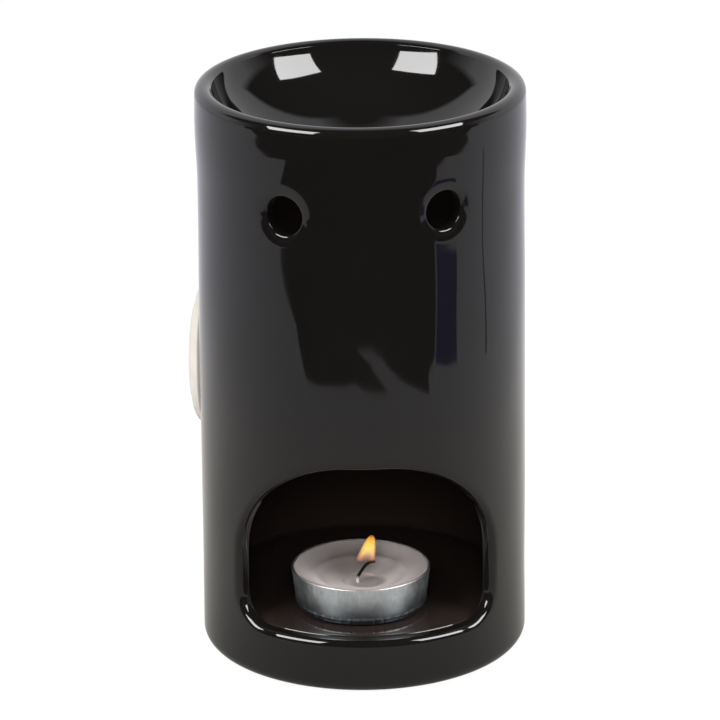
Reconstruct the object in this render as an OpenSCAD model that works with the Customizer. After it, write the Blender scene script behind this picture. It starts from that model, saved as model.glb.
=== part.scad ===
// Ceramic oil burner: a glazed cylinder with a candle window, two vents and an oil dish on top,
// and a tealight that stands on the chamber floor and slides out through the window.
// Millimetres. The origin is the centre of the foot, +Z is up and the window faces -Y.

/* [Body] */
// Outer diameter of the cylinder
body_d = 88; // [84:1:100]
// Height from the table to the crest of the lip
body_h = 157; // [145:1:180]
// Thickness of the cylinder wall
wall_t = 4.2; // [3.2:0.1:6]
// Rounding of the foot's outer edge
foot_round = 3.6; // [1:0.1:4]
// Width of the ledge inside the foot that carries the floor
ledge_w = 3; // [2:0.5:6]

/* [Oil dish] */
// Height of the dish's rim from its seat on the wall to the crest
lip_h = 9; // [7:0.5:12]
// Rounding of the lip towards the outside
lip_outer_round = 2.6; // [1.5:0.1:4]
// Rounding of the lip towards the bowl
lip_inner_round = 2.4; // [1.5:0.1:5]
// Slope of the bowl where it runs into the lip
rim_slope = 70; // [62:1:80]
// Radius of the bowl's corner under the lip
corner_round = 22; // [16:0.5:26]
// Slope where the corner runs into the bowl's sphere
corner_slope = 52; // [44:1:58]
// Thickness of the bowl
dish_t = 4.2; // [3:0.1:5]

/* [Chamber floor] */
// Height of the floor's upper face
floor_z = 15; // [12:0.5:20]
// Thickness of the floor
floor_t = 5; // [3.5:0.5:7]
// Joint gap round the floor, which slip and glaze fill
lute_gap = 0.15; // [0.05:0.05:0.4]

/* [Window] */
// Half the angle that the window opens in the wall
window_half_angle = 51; // [42:1:56]
// Height of the window above the floor
window_h = 48.6; // [42:0.1:60]
// Radius of the window's upper corners
window_top_round = 28.8; // [10:0.1:32]
// Radius of the window's lower corners
window_low_round = 7; // [3:0.5:10]

/* [Vents] */
// Diameter of each vent
vent_d = 10.6; // [6:0.1:13]
// Drop from the crest of the lip to the centre of the vent on the -X side
vent_drop = 24.7; // [20:0.1:34]
// Angle of each vent from the window's centre line
vent_half_angle = 28.9; // [15:0.1:45]
// How much higher the vent on the +X side stands
vent_rise = 1; // [0:0.1:3]

/* [Medallion] */
// Diameter of the applied medallion, measured along the wall
medallion_d = 48; // [36:1:60]
// Thickness of the medallion's raised middle
medallion_t = 3.7; // [3:0.1:5]
// Thickness of the medallion's border
border_t = 3.1; // [1.2:0.1:3.6]
// Width of the medallion's border
border_w = 2; // [1:0.1:4]
// Height of the medallion's centre above the table
medallion_z = 75.1; // [70:0.1:95]
// Angle of the medallion from the window, round by -X
medallion_angle = 127; // [110:1:180]

/* [Tealight] */
// Diameter of the cup over its rolled rim
cup_d = 37.6; // [36:0.1:39]
// Height of the cup
cup_h = 10.8; // [8.5:0.1:14]
// Thickness of the cup's sheet
cup_t = 0.3; // [0.15:0.05:0.5]
// Radius of the rolled rim
rim_roll = 0.3; // [0.25:0.05:0.6]
// How much narrower the cup is at its foot, on the radius
cup_taper = 0.9; // [0:0.05:1.2]
// Bevel round the cup's foot
cup_bevel = 0.8; // [0.3:0.1:1.2]
// Place of the tealight across the window
tealight_x = -1.2; // [-6:0.1:6]
// Place of the tealight from front to back
tealight_y = -15.7; // [-17:0.1:4]
// Running gap under the tealight
tealight_gap = 0.2; // [0.1:0.05:0.4]

/* [Candle] */
// Gap between the wax and the cup's wall
wax_gap = 0.4; // [0.3:0.05:0.6]
// Gap between the wax and the cup's floor
wax_seat_gap = 0.1; // [0.05:0.05:0.3]
// Drop from the cup's rim to the wax at its edge
wax_edge_drop = 0.4; // [0.3:0.1:2]
// Depth of the melted hollow in the wax
wax_hollow = 4.5; // [1:0.1:5]
// Place of the wick across the candle
wick_x = -0.9; // [-2:0.1:2]
// Diameter of the wick
wick_d = 1; // [0.8:0.1:2]
// Straight length of the wick above the wax
wick_rise = 2; // [0.5:0.1:4]
// Radius of the wick's bend
wick_bend = 4; // [2:0.1:6]
// Straight length at the wick's tip
wick_tip = 0.9; // [0.2:0.1:2]
// Diameter of the wick's tin tab
tab_d = 13; // [9:0.5:18]
// Thickness of the tab's sheet
tab_t = 0.4; // [0.2:0.1:0.6]
// Diameter of the tab's crimped neck
neck_d = 2.6; // [2.4:0.1:4]
// Height of the tab with its neck
neck_h = 2.6; // [1.5:0.1:3]
// Clearance round the wick and the tab in the wax
wick_gap = 0.1; // [0.05:0.05:0.2]

/* [Hidden] */
$fn = 96;

// How far a cut runs past the surface that it opens
over = 5;
glaze_black = [0.09, 0.085, 0.085];
relief_cream = [0.90, 0.87, 0.83];
foil_grey = [0.72, 0.73, 0.74];
wax_white = [0.86, 0.82, 0.80];
wick_char = [0.12, 0.09, 0.08];
tin_grey = [0.60, 0.60, 0.60];

body_r = body_d / 2;
bore_r = body_r - wall_t;
ledge_r = bore_r - ledge_w;
ledge_z = floor_z - floor_t;
seat_z = body_h - lip_h;
vent_z = body_h - vent_drop;

// Inwards from the crest the dish is the lip's rounding, a corner and a sphere, each tangent to the next
crest_r = body_r - lip_outer_round;
lip_z = body_h - lip_inner_round;
meet_r = crest_r - lip_inner_round * sin(rim_slope);
meet_z = lip_z + lip_inner_round * cos(rim_slope);
corner_r = meet_r - corner_round * sin(rim_slope);
corner_z = meet_z + corner_round * cos(rim_slope);
bowl_r = corner_round + corner_r / sin(corner_slope);
bowl_z = corner_z + corner_r / tan(corner_slope);
plug_r = bore_r - lute_gap;

window_half_w = body_r * sin(window_half_angle);
window_top_z = floor_z + window_h;

cup_z = floor_z + tealight_gap;
cup_top_r = cup_d / 2 - rim_roll;
cup_foot_r = cup_top_r - cup_taper;
wax_z = cup_z + cup_t + wax_seat_gap;
wax_r = cup_top_r - cup_t - wax_gap;
wax_foot_r = cup_foot_r - cup_t - wax_gap;
wax_h = cup_h - cup_t - wax_seat_gap - wax_edge_drop;
hollow_r = (wax_r * wax_r + wax_hollow * wax_hollow) / (2 * wax_hollow);
pool_z = wax_z + wax_h - wax_hollow;
wick_z = wax_z + tab_t;
bend_z = pool_z + wick_rise;

// A bar along the radius that points at an angle from the window, counted towards +X
module along_radius(angle, height, diameter) {
    rotate([0, 0, angle])
        translate([0, 0, height])
            rotate([90, 0, 0])
                cylinder(d = diameter, h = body_d);
}

module wall_profile() {
    translate([bore_r, ledge_z])
        square([wall_t, seat_z - ledge_z]);
    translate([ledge_r, foot_round])
        square([body_r - ledge_r, ledge_z - foot_round]);
    translate([ledge_r, 0])
        square([body_r - foot_round - ledge_r, foot_round]);
    intersection() {
        translate([body_r - foot_round, foot_round])
            circle(foot_round);
        translate([body_r - foot_round, 0])
            square(foot_round);
    }
}

// The window seen from the front: large upper corners and small lower ones
module window_outline() {
    low_x = window_half_w - window_low_round;
    top_x = window_half_w - window_top_round;
    side_low = floor_z + window_low_round;
    side_top = window_top_z - window_top_round;
    translate([-window_half_w, side_low])
        square([2 * window_half_w, side_top - side_low]);
    translate([-low_x, floor_z])
        square([2 * low_x, window_low_round]);
    translate([-top_x, side_top])
        square([2 * top_x, window_top_round]);
    for (side = [-1, 1]) {
        translate([side * low_x, side_low])
            circle(window_low_round);
        intersection() {
            translate([side * top_x, side_top])
                circle(window_top_round);
            translate([-window_half_w, side_top])
                square([2 * window_half_w, window_top_round]);
        }
    }
}

// The front outline cut square through the wall, with jambs that point at the axis
module window_cut() {
    intersection() {
        translate([0, -ledge_r * cos(window_half_angle), 0])
            rotate([90, 0, 0])
                linear_extrude(body_r)
                    window_outline();
        rotate([0, 0, -90 - window_half_angle])
            rotate_extrude(angle = 2 * window_half_angle)
                square([body_r + over, body_h]);
    }
}

module body_wall() {
    color(glaze_black)
        difference() {
            rotate_extrude()
                wall_profile();
            window_cut();
            for (side = [-1, 1])
                along_radius(side * vent_half_angle, vent_z + max(side, 0) * vent_rise, vent_d);
        }
}

// The bowl's hollow seen from the side and grown by a thickness: a corner, and the sphere below it
module bowl_section(grow) {
    reach = 2 * (bowl_r + grow);
    translate([corner_r, corner_z])
        circle(corner_round + grow);
    translate([0, bowl_z])
        intersection() {
            circle(bowl_r + grow);
            polygon([[0, 0], [0, -reach], reach * [sin(corner_slope), -cos(corner_slope)]]);
        }
}

// What the lip's two roundings take off the ring
module lip_cuts() {
    difference() {
        translate([0, meet_z])
            square([crest_r, body_h]);
        translate([crest_r, lip_z])
            circle(lip_inner_round);
    }
    difference() {
        translate([crest_r, body_h - lip_outer_round])
            square(body_r);
        translate([crest_r, body_h - lip_outer_round])
            circle(lip_outer_round);
    }
}

module dish_profile() {
    difference() {
        union() {
            translate([plug_r - dish_t, seat_z])
                square([body_r - plug_r + dish_t, lip_h]);
            intersection() {
                bowl_section(dish_t);
                square([plug_r, meet_z]);
            }
        }
        bowl_section(0);
        lip_cuts();
    }
}

module oil_dish() {
    color(glaze_black)
        rotate_extrude()
            dish_profile();
}

module chamber_floor() {
    color(glaze_black)
        translate([0, 0, ledge_z])
            cylinder(r = plug_r, h = floor_t);
}

// A round plaque bent to the wall, with a lower border round its raised middle
module medallion() {
    color(relief_cream)
        for (step = [[medallion_d, border_t], [medallion_d - 2 * border_w, medallion_t]])
            intersection() {
                along_radius(-medallion_angle, medallion_z, step[0]);
                difference() {
                    cylinder(r = body_r + step[1], h = body_h);
                    cylinder(r = body_r, h = body_h);
                }
            }
}

module at_tealight() {
    translate([tealight_x, tealight_y, 0])
        children();
}

module at_wick() {
    translate([tealight_x + wick_x, tealight_y, 0])
        children();
}

module cup_profile() {
    rim_z = cup_z + cup_h - rim_roll;
    polygon([
        [0, cup_z],
        [cup_foot_r - cup_bevel, cup_z],
        [cup_foot_r, cup_z + cup_bevel],
        [cup_top_r, rim_z],
        [cup_top_r - cup_t, rim_z],
        [cup_foot_r - cup_t, cup_z + cup_bevel],
        [cup_foot_r - cup_bevel, cup_z + cup_t],
        [0, cup_z + cup_t]
    ]);
    translate([cup_top_r, rim_z])
        circle(rim_roll);
}

module tealight_cup() {
    color(foil_grey)
        at_tealight()
            rotate_extrude()
                cup_profile();
}

module wax() {
    color(wax_white)
        at_tealight()
            difference() {
                rotate_extrude()
                    wax_profile();
                translate([wick_x, 0, wax_z]) {
                    cylinder(d = wick_d + 2 * wick_gap, h = wax_h);
                    cylinder(d = neck_d + 2 * wick_gap, h = neck_h + wick_gap);
                    translate([0, 0, -over])
                        cylinder(d = tab_d + 2 * wick_gap, h = over + tab_t + wick_gap);
                }
            }
}

module wax_profile() {
    difference() {
        polygon([
            [0, wax_z],
            [wax_foot_r - cup_bevel, wax_z],
            [wax_foot_r, wax_z + cup_bevel],
            [wax_r, wax_z + wax_h],
            [0, wax_z + wax_h]
        ]);
        translate([0, pool_z + hollow_r])
            circle(hollow_r);
    }
}

// Upright from the tab through the wax, then a quarter bend to +X and a short tip
module wick() {
    color(wick_char)
        at_wick() {
            translate([0, 0, wick_z])
                cylinder(d = wick_d, h = bend_z - wick_z);
            translate([wick_bend, 0, bend_z])
                rotate([90, 0, 0])
                    rotate([0, 0, 90])
                        rotate_extrude(angle = 90)
                            translate([wick_bend, 0])
                                circle(d = wick_d);
            translate([wick_bend, 0, bend_z + wick_bend])
                rotate([0, 90, 0])
                    cylinder(d = wick_d, h = wick_tip);
        }
}

module wick_tab() {
    color(tin_grey)
        at_wick()
            translate([0, 0, wax_z])
                difference() {
                    union() {
                        cylinder(d = tab_d, h = tab_t);
                        cylinder(d = neck_d, h = neck_h);
                    }
                    translate([0, 0, tab_t])
                        cylinder(d = wick_d + 2 * wick_gap, h = neck_h);
                }
}

body_wall();
oil_dish();
chamber_floor();
medallion();
tealight_cup();
wax();
wick();
wick_tab();
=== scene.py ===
"""A glazed ceramic oil burner with a lit tealight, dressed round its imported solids.

Shapes are worked out in millimetres and turned to metres where a mesh is made.
Angles round the burner are counted from the window, which faces -Y, towards +X.
"""

import math

import bmesh
import bpy
import numpy as np
from mathutils import Matrix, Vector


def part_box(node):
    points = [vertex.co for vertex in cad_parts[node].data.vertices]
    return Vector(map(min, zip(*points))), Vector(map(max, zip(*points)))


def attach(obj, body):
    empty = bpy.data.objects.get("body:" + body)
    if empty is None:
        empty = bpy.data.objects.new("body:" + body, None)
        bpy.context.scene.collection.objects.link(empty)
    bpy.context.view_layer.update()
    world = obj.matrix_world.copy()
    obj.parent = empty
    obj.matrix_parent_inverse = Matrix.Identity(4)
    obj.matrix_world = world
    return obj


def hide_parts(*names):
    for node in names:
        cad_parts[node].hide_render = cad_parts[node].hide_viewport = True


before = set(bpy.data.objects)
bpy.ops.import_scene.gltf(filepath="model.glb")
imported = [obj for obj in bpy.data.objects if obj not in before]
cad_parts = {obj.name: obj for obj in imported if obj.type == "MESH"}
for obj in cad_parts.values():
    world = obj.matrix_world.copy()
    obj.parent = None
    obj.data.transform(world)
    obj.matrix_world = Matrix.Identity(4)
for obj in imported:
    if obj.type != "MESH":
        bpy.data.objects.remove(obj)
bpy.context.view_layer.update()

MM = 0.001
TURN = 2 * math.pi


def node_box(node):
    """Lowest and highest corner of a solid, in millimetres."""
    low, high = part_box(node)
    return np.array(low) / MM, np.array(high) / MM


# Sizes of the burner, from its solids where their boxes give them
WALL_HIGH = node_box("body_wall")[1]
DISH_HIGH = node_box("oil_dish")[1]
FLOOR_LOW, FLOOR_HIGH = node_box("chamber_floor")
BODY_R = WALL_HIGH[0]
SEAT_Z = WALL_HIGH[2]
CREST_Z = DISH_HIGH[2]
LEDGE_Z = FLOOR_LOW[2]
FLOOR_Z = FLOOR_HIGH[2]
FLOOR_R = FLOOR_HIGH[0]
WALL_T = 4.2
BORE_R = BODY_R - WALL_T
LEDGE_W = 3.0
LEDGE_R = BORE_R - LEDGE_W
FOOT_ROUND = 3.6
FOOT_CHAMFER = 0.5
LIP_OUT_ROUND = 2.6
LIP_IN_ROUND = 2.4
RIM_SLOPE = 70.0
CORNER_ROUND = 22.0
CORNER_SLOPE = 52.0
DISH_T = 4.2
PLUG_R = FLOOR_R

# The lip's inner rounding: how many degrees it turns, and how close rows lie to the edge that ends it
LIP_TURN = 40.0
LIP_EDGE = np.array([[0.06], [0.02]])

# The window and the vents in the wall
WINDOW_HALF_ANGLE = 51
WINDOW_HALF_W = BODY_R * math.sin(math.radians(WINDOW_HALF_ANGLE))
WINDOW_H = 48.6
WINDOW_TOP_Z = FLOOR_Z + WINDOW_H
WINDOW_TOP_ROUND = 28.8
WINDOW_LOW_ROUND = 7.0
VENT_R = 5.3
VENT_DROP = 24.7
VENT_Z = CREST_Z - VENT_DROP
VENT_RISE = 1.0
VENT_ANGLE = 28.9
VENT_SPOTS = ((-VENT_ANGLE, VENT_Z), (VENT_ANGLE, VENT_Z + VENT_RISE))

# The medallion on the wall
MEDALLION_R = 24.0
MEDALLION_Z = 75.1
MEDALLION_ANGLE = -127.0
MEDALLION_BORDER_T = 3.07
MEDALLION_BORDER_W = 2.0
MEDALLION_T = 3.67

# The tealight
CUP_LOW, CUP_HIGH = node_box("tealight_cup")
WAX_LOW, WAX_HIGH = node_box("wax")
WICK_LOW, WICK_HIGH = node_box("wick")
CUP_AXIS = (CUP_LOW[:2] + CUP_HIGH[:2]) / 2
CUP_RIM_R = (CUP_HIGH[0] - CUP_LOW[0]) / 2
CUP_BASE_Z = CUP_LOW[2]
CUP_RIM_Z = CUP_HIGH[2]
CUP_T = 0.3
RIM_ROLL = 0.3
CUP_TAPER = 0.9
CUP_BEVEL = 0.8
WAX_BASE_Z = WAX_LOW[2]
WAX_EDGE_Z = WAX_HIGH[2]
WAX_HOLLOW = 4.5
WICK_D = 1.0
WICK_AXIS = np.array([WICK_LOW[0] + WICK_D / 2, CUP_AXIS[1]])

# How far from the cup's axis the wax's painted rings of light and shade, and its pool, are centred, to +X
# and to +Y
WAX_SHADE_SHIFT = np.array([-4.0, 10.0])
POOL_SHIFT = np.array([2.0, -1.5])

# How the flame narrows towards its tip
FLAME_POWER = 0.45

# How finely the burner's round surfaces are divided
COLUMNS = 288
ROW_STEP = 2.0

# How near points are welded, and the angle in degrees above which an edge is shaded sharp
WELD = 0.002
CREASE = 40


# Shapes

def arc(centre, radii, start, end, count):
    """Points of an elliptic arc: centre + radii * (cos t, sin t), with t in degrees from start to end."""
    t = np.radians(np.linspace(start, end, count))
    return np.column_stack([centre[0] + radii[0] * np.cos(t), centre[1] + radii[1] * np.sin(t)])


def line(start, end, count):
    """Evenly spaced points from start up to, but without, end."""
    t = np.arange(count)[:, None] / count
    return np.array(start) + t * (np.array(end) - np.array(start))


def smooth_step(value, low, high):
    """0 below low, 1 above high, with a cubic between them."""
    t = np.clip((value - low) / (high - low), 0, 1)
    return t * t * (3 - 2 * t)


def casting_waves(angle, height):
    """How far the cast wall lies inside its true circle: long sines, a waist and a soft shoulder.

    The sines run round the wall and along it, and fade out with the waist at the foot and below the lip.
    The shoulder draws the wall in just under the lip. The sum never rises above zero.
    """
    waves = (
        0.030 * np.sin(3 * angle + 0.020 * height + 0.6)
        + 0.025 * np.sin(5 * angle - 0.055 * height + 2.0)
        + 0.020 * np.sin(2 * angle + 0.105 * height)
        + 0.020 * np.sin(9 * angle + 0.110 * height + 1.1)
        + 0.012 * np.sin(14 * angle - 0.170 * height)
    )
    wave_sum = 0.107
    waist_in, waist_z, waist_w = 0.36, 124, 24
    shoulder_in, shoulder_low, shoulder_high = 0.12, 147, 155
    foot_fade, lip_fade = (4, 24), (10, 26)
    drop = CREST_Z - height
    waist = waist_in * np.exp(-((height - waist_z) / waist_w) ** 2)
    fade = smooth_step(height, *foot_fade) * smooth_step(drop, *lip_fade)
    under_lip = smooth_step(drop, 0, LIP_OUT_ROUND)
    shoulder = shoulder_in * smooth_step(height, shoulder_low, shoulder_high) * under_lip
    return (waves - wave_sum - waist) * fade - shoulder


def round_the_axis(radius, angle, height, centre=(0.0, 0.0)):
    """Points at x = r sin a, y = -r cos a about an upright axis."""
    x = centre[0] + radius * np.sin(angle)
    y = centre[1] - radius * np.cos(angle)
    return np.stack(np.broadcast_arrays(x, y, height), axis=-1)


def column_angles(columns):
    """Even angles of a full turn, in radians."""
    return np.arange(columns) * TURN / columns


def turned(profile, columns, centre=(0.0, 0.0)):
    """A profile of (radius, height) carried round an upright axis."""
    return round_the_axis(profile[:, :1], column_angles(columns)[None, :], profile[:, 1:], centre)


def ring_quads(rows, columns, close_rows=False):
    """Quads of a grid whose columns close on themselves, and whose rows do where asked."""
    row = np.arange(rows if close_rows else rows - 1)[:, None]
    column = np.arange(columns)[None, :]
    next_row = (row + 1) % rows
    next_column = (column + 1) % columns
    corners = (
        row * columns + column,
        row * columns + next_column,
        next_row * columns + next_column,
        next_row * columns + column,
    )
    return np.stack(np.broadcast_arrays(*corners), axis=-1)


def make_piece(name, sheets, material, body, node=None):
    """One object of sheets of points and quads, welded where they meet and faced outwards."""
    starts = np.cumsum([0] + [points.size // 3 for points, _ in sheets])
    points = np.concatenate([points.reshape(-1, 3) for points, _ in sheets])
    quads = np.concatenate([quads.reshape(-1, 4) + start for (_, quads), start in zip(sheets, starts)])
    used, quads = np.unique(quads, return_inverse=True)
    mesh = bpy.data.meshes.new(name)
    mesh.from_pydata((points[used] * MM).tolist(), [], quads.reshape(-1, 4).tolist())
    weld = bmesh.new()
    weld.from_mesh(mesh)
    bmesh.ops.remove_doubles(weld, verts=weld.verts, dist=WELD * MM)
    bmesh.ops.recalc_face_normals(weld, faces=weld.faces)
    weld.to_mesh(mesh)
    weld.free()
    mesh.shade_smooth()
    mesh.set_sharp_from_angle(angle=math.radians(CREASE))
    mesh.materials.append(material)
    piece = bpy.data.objects.new(name, mesh)
    bpy.context.scene.collection.objects.link(piece)
    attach(piece, body)
    if node:
        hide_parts(node)


# Wall

def wall_rows():
    """Heights of the wall's straight rows, shared by its outer and inner face."""
    count = int(round((SEAT_Z - LEDGE_Z) / ROW_STEP))
    return np.linspace(LEDGE_Z, SEAT_Z, count + 1)


def wall_profile(heights):
    """The closed section: foot recess, foot ring, rounded edge, outer face, seat and inner face."""
    foot = np.concatenate([
        line((LEDGE_R, LEDGE_Z), (LEDGE_R, FOOT_CHAMFER), 4),
        line((LEDGE_R, FOOT_CHAMFER), (LEDGE_R + FOOT_CHAMFER, 0), 2),
        line((LEDGE_R + FOOT_CHAMFER, 0), (BODY_R - FOOT_ROUND, 0), 4),
        arc((BODY_R - FOOT_ROUND, FOOT_ROUND), (FOOT_ROUND, FOOT_ROUND), -90, 0, 12),
        line((BODY_R, FOOT_ROUND + ROW_STEP), (BODY_R, LEDGE_Z), 2),
    ])
    outer = np.column_stack([np.full_like(heights, BODY_R), heights])
    inner = np.column_stack([np.full_like(heights, BORE_R), heights[::-1]])
    return np.concatenate([foot, outer, inner]), len(foot)


def softened(loop, spread):
    """A closed loop of even points, each averaged with its neighbours by a bell spread points wide."""
    wave = TURN * np.fft.fftfreq(len(loop))
    kept = np.exp(-(spread * wave) ** 2 / 2)[:, None]
    return np.fft.ifft(np.fft.fft(loop, axis=0) * kept, axis=0).real


def window_outline(count):
    """The window seen from the front, unrolled on to the wall: arcs at the corners, s = R asin(x / R).

    A narrow bell runs along the outline, so that its curvature has no jumps.
    """
    bell_w = 1.6
    low_x = WINDOW_HALF_W - WINDOW_LOW_ROUND
    low_z = FLOOR_Z + WINDOW_LOW_ROUND
    top_x = WINDOW_HALF_W - WINDOW_TOP_ROUND
    top_z = WINDOW_TOP_Z - WINDOW_TOP_ROUND
    low = (WINDOW_LOW_ROUND, WINDOW_LOW_ROUND)
    top = (WINDOW_TOP_ROUND, WINDOW_TOP_ROUND)
    corners = np.concatenate([
        arc((low_x, low_z), low, -90, 0, 60),
        arc((top_x, top_z), top, 0, 90, 120),
        arc((-top_x, top_z), top, 90, 180, 120),
        arc((-low_x, low_z), low, 180, 270, 60),
    ])
    corners = np.concatenate([corners, corners[:1]])
    corners[:, 0] = BODY_R * np.arcsin(corners[:, 0] / BODY_R)
    run = np.concatenate([[0], np.cumsum(np.hypot(*np.diff(corners, axis=0).T))])
    places = np.arange(count) * run[-1] / count
    even = np.column_stack([np.interp(places, run, corners[:, 0]), np.interp(places, run, corners[:, 1])])
    return softened(even, bell_w * count / run[-1])


def vent_outline(count, angle, height):
    """A circle on the unrolled wall."""
    turn = np.arange(count) * TURN / count
    middle = BODY_R * math.radians(angle)
    return np.column_stack([middle + VENT_R * np.cos(turn), height + VENT_R * np.sin(turn)])


def edge_section(outer, inner, funnel):
    """Distance from the outline and depth in the wall across an opening's edge.

    Outer and inner are the radii of its two roundings, and funnel is a reach and the slope at its end.
    A funnel falls as the square of its run, an ellipse goes on from the funnel's slope and rounds
    the outer edge, then the jamb runs straight, and another ellipse rounds the inner edge.
    """
    reach, slope = funnel
    sink = reach * slope / 2
    start = math.atan(slope * outer[0] / outer[1])
    run = np.linspace(0, 1, 9)[:-1]
    fall = np.linspace(start, math.pi / 2, 12)
    rise = np.linspace(math.pi / 2, 0, 8)
    edge_depth = sink + outer[1] * math.cos(start)
    jamb = np.linspace(edge_depth, WALL_T - inner[1], 5)[1:-1]
    distance = [
        outer[0] * (1 - math.sin(start)) + reach * (1 - run),
        outer[0] * (1 - np.sin(fall)),
        np.zeros(len(jamb)),
        inner[0] * (1 - np.sin(rise)),
    ]
    depth = [
        sink * run ** 2,
        edge_depth - outer[1] * np.cos(fall),
        jamb,
        WALL_T - inner[1] * (1 - np.cos(rise)),
    ]
    return np.concatenate(distance), np.concatenate(depth)


def patch_loop(columns, rows):
    """Grid columns and rows round a rectangular patch, anticlockwise from its low left corner."""
    first, last = columns
    low, high = rows
    across = np.arange(first, last)
    up = np.arange(low, high)
    column = np.concatenate([across, np.full(len(up), last), across[::-1] + 1, np.full(len(up), first)])
    row = np.concatenate([np.full(len(across), low), up, np.full(len(across), high), up[::-1] + 1])
    return column, row


def opening(outline, edge, loop_s, loop_z):
    """Rows from the patch's loop on the outer face, over the rounded edge, to the loop on the inner face.

    Each point of the loop is paired with the outline's point at the same angle from the outline's middle.
    """
    steps = 7
    middle = (outline.max(axis=0) + outline.min(axis=0)) / 2
    ahead = np.roll(outline, -1, axis=0) - np.roll(outline, 1, axis=0)
    away = np.column_stack([ahead[:, 1], -ahead[:, 0]]) / np.hypot(ahead[:, 0], ahead[:, 1])[:, None]
    bearing = np.arctan2(outline[:, 1] - middle[1], outline[:, 0] - middle[0])
    wanted = np.arctan2(loop_z - middle[1], loop_s - middle[0])
    edge_s, edge_z, away_s, away_z = (
        np.interp(wanted, bearing, values, period=TURN)
        for values in (outline[:, 0], outline[:, 1], away[:, 0], away[:, 1])
    )
    distance, depth = edge_section(*edge)
    s = edge_s + distance[:, None] * away_s
    z = edge_z + distance[:, None] * away_z
    share = np.arange(steps)[:, None] / steps
    back = share + 1 / steps
    s = np.concatenate([loop_s + share * (s[0] - loop_s), s, s[-1] + back * (loop_s - s[-1])])
    z = np.concatenate([loop_z + share * (z[0] - loop_z), z, z[-1] + back * (loop_z - z[-1])])
    depth = np.concatenate([np.zeros(steps), depth, np.full(steps, WALL_T)])
    return s, z, depth[:, None]


def wall_sheets():
    """The turned wall with rectangular patches left out, and rings of rows round the openings in them."""
    heights = wall_rows()
    profile, first_row = wall_profile(heights)
    straight = len(heights)
    angles = column_angles(COLUMNS)[None, :]
    radius = profile[:, :1] + np.where(profile[:, :1] > BORE_R, casting_waves(angles, profile[:, 1:]), 0)
    points = round_the_axis(radius, angles, profile[:, 1:])
    quads = ring_quads(len(profile), COLUMNS, close_rows=True)
    kept = np.ones(quads.shape[:2], bool)
    pitch = TURN / COLUMNS
    window_edge = ((1.9, 1.8), (1.2, 1.0), (0.8, 0.08))
    vent_edge = ((0.8, 0.8), (0.8, 0.6), (2.9, 0.27))
    window_margin, vent_margin = 4.0, 5.5
    holes = [(window_outline(2400), window_edge, window_margin)]
    holes += [(vent_outline(720, *spot), vent_edge, vent_margin) for spot in VENT_SPOTS]
    sheets = []
    for outline, edge, margin in holes:
        low = outline.min(axis=0) - margin
        high = outline.max(axis=0) + margin
        columns = (math.floor(low[0] / BODY_R / pitch), math.ceil(high[0] / BODY_R / pitch))
        rows = (max(np.searchsorted(heights, low[1]) - 1, 0), np.searchsorted(heights, high[1]))
        column, row = patch_loop(columns, rows)
        s, z, depth = opening(outline, edge, column * pitch * BODY_R, heights[row])
        angle = s / BODY_R
        waves = casting_waves(angle, z) * (1 - depth / WALL_T)
        ring = round_the_axis(BODY_R + waves - depth, angle, z)
        sheets.append((ring, ring_quads(*s.shape)))
        inside = np.arange(columns[0], columns[1]) % COLUMNS
        outer_rows = first_row + np.arange(rows[0], rows[1])
        inner_rows = first_row + 2 * straight - 2 - np.arange(rows[0], rows[1])
        kept[np.ix_(np.concatenate([outer_rows, inner_rows]), inside)] = False
    return [(points, quads[kept])] + sheets


# Dish

def dish_profile():
    """The closed section: rim, lip, corner, bowl, underside and plug.

    Inwards from the crest the lip's rounding runs straight on to a crisp edge, where the bowl's side
    meets it. That side is a corner and a sphere, tangent to one another, and the underside runs one
    thickness below them until it meets the plug that fits the wall's bore.
    """
    rim, bend = math.radians(RIM_SLOPE), math.radians(CORNER_SLOPE)
    crest_r = BODY_R - LIP_OUT_ROUND
    lip_z = CREST_Z - LIP_IN_ROUND
    corner_r = crest_r - (LIP_IN_ROUND + CORNER_ROUND) * math.sin(rim)
    corner_z = lip_z + (LIP_IN_ROUND + CORNER_ROUND) * math.cos(rim)
    bowl_r = CORNER_ROUND + corner_r / math.sin(bend)
    bowl_z = corner_z + corner_r / math.tan(bend)
    under_corner = CORNER_ROUND + DISH_T
    plug_slope = math.asin((PLUG_R - corner_r) / under_corner)
    plug_z = corner_z - under_corner * math.cos(plug_slope)
    lip = arc((crest_r, lip_z), (LIP_IN_ROUND, LIP_IN_ROUND), 90, 90 + LIP_TURN, 12)
    side = arc((corner_r, corner_z), (CORNER_ROUND, CORNER_ROUND),
               RIM_SLOPE - 90, CORNER_SLOPE - 90, 10)[:-1]
    down_lip = np.array([math.cos(math.radians(LIP_TURN)), math.sin(math.radians(LIP_TURN))])
    up_side = np.array([math.cos(rim), math.sin(rim)])
    run = np.linalg.solve(np.column_stack([down_lip, up_side]), lip[-1] - side[0])[0]
    edge = lip[-1] - run * down_lip
    return np.concatenate([
        line((BODY_R, SEAT_Z), (BODY_R, CREST_Z - LIP_OUT_ROUND), 5),
        arc((crest_r, CREST_Z - LIP_OUT_ROUND), (LIP_OUT_ROUND, LIP_OUT_ROUND), 0, 90, 16)[:-1],
        lip,
        edge + LIP_EDGE * down_lip,
        edge - LIP_EDGE[::-1] * up_side,
        side,
        arc((0, bowl_z), (bowl_r, bowl_r), CORNER_SLOPE - 90, -90, 44),
        arc((0, bowl_z), (bowl_r + DISH_T, bowl_r + DISH_T), -90, CORNER_SLOPE - 90, 28)[:-1],
        arc((corner_r, corner_z), (under_corner, under_corner), CORNER_SLOPE - 90,
            math.degrees(plug_slope) - 90, 4)[:-1],
        line((PLUG_R, plug_z), (PLUG_R, SEAT_Z), 2),
        line((PLUG_R, SEAT_Z), (BODY_R, SEAT_Z), 4),
    ])


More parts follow.
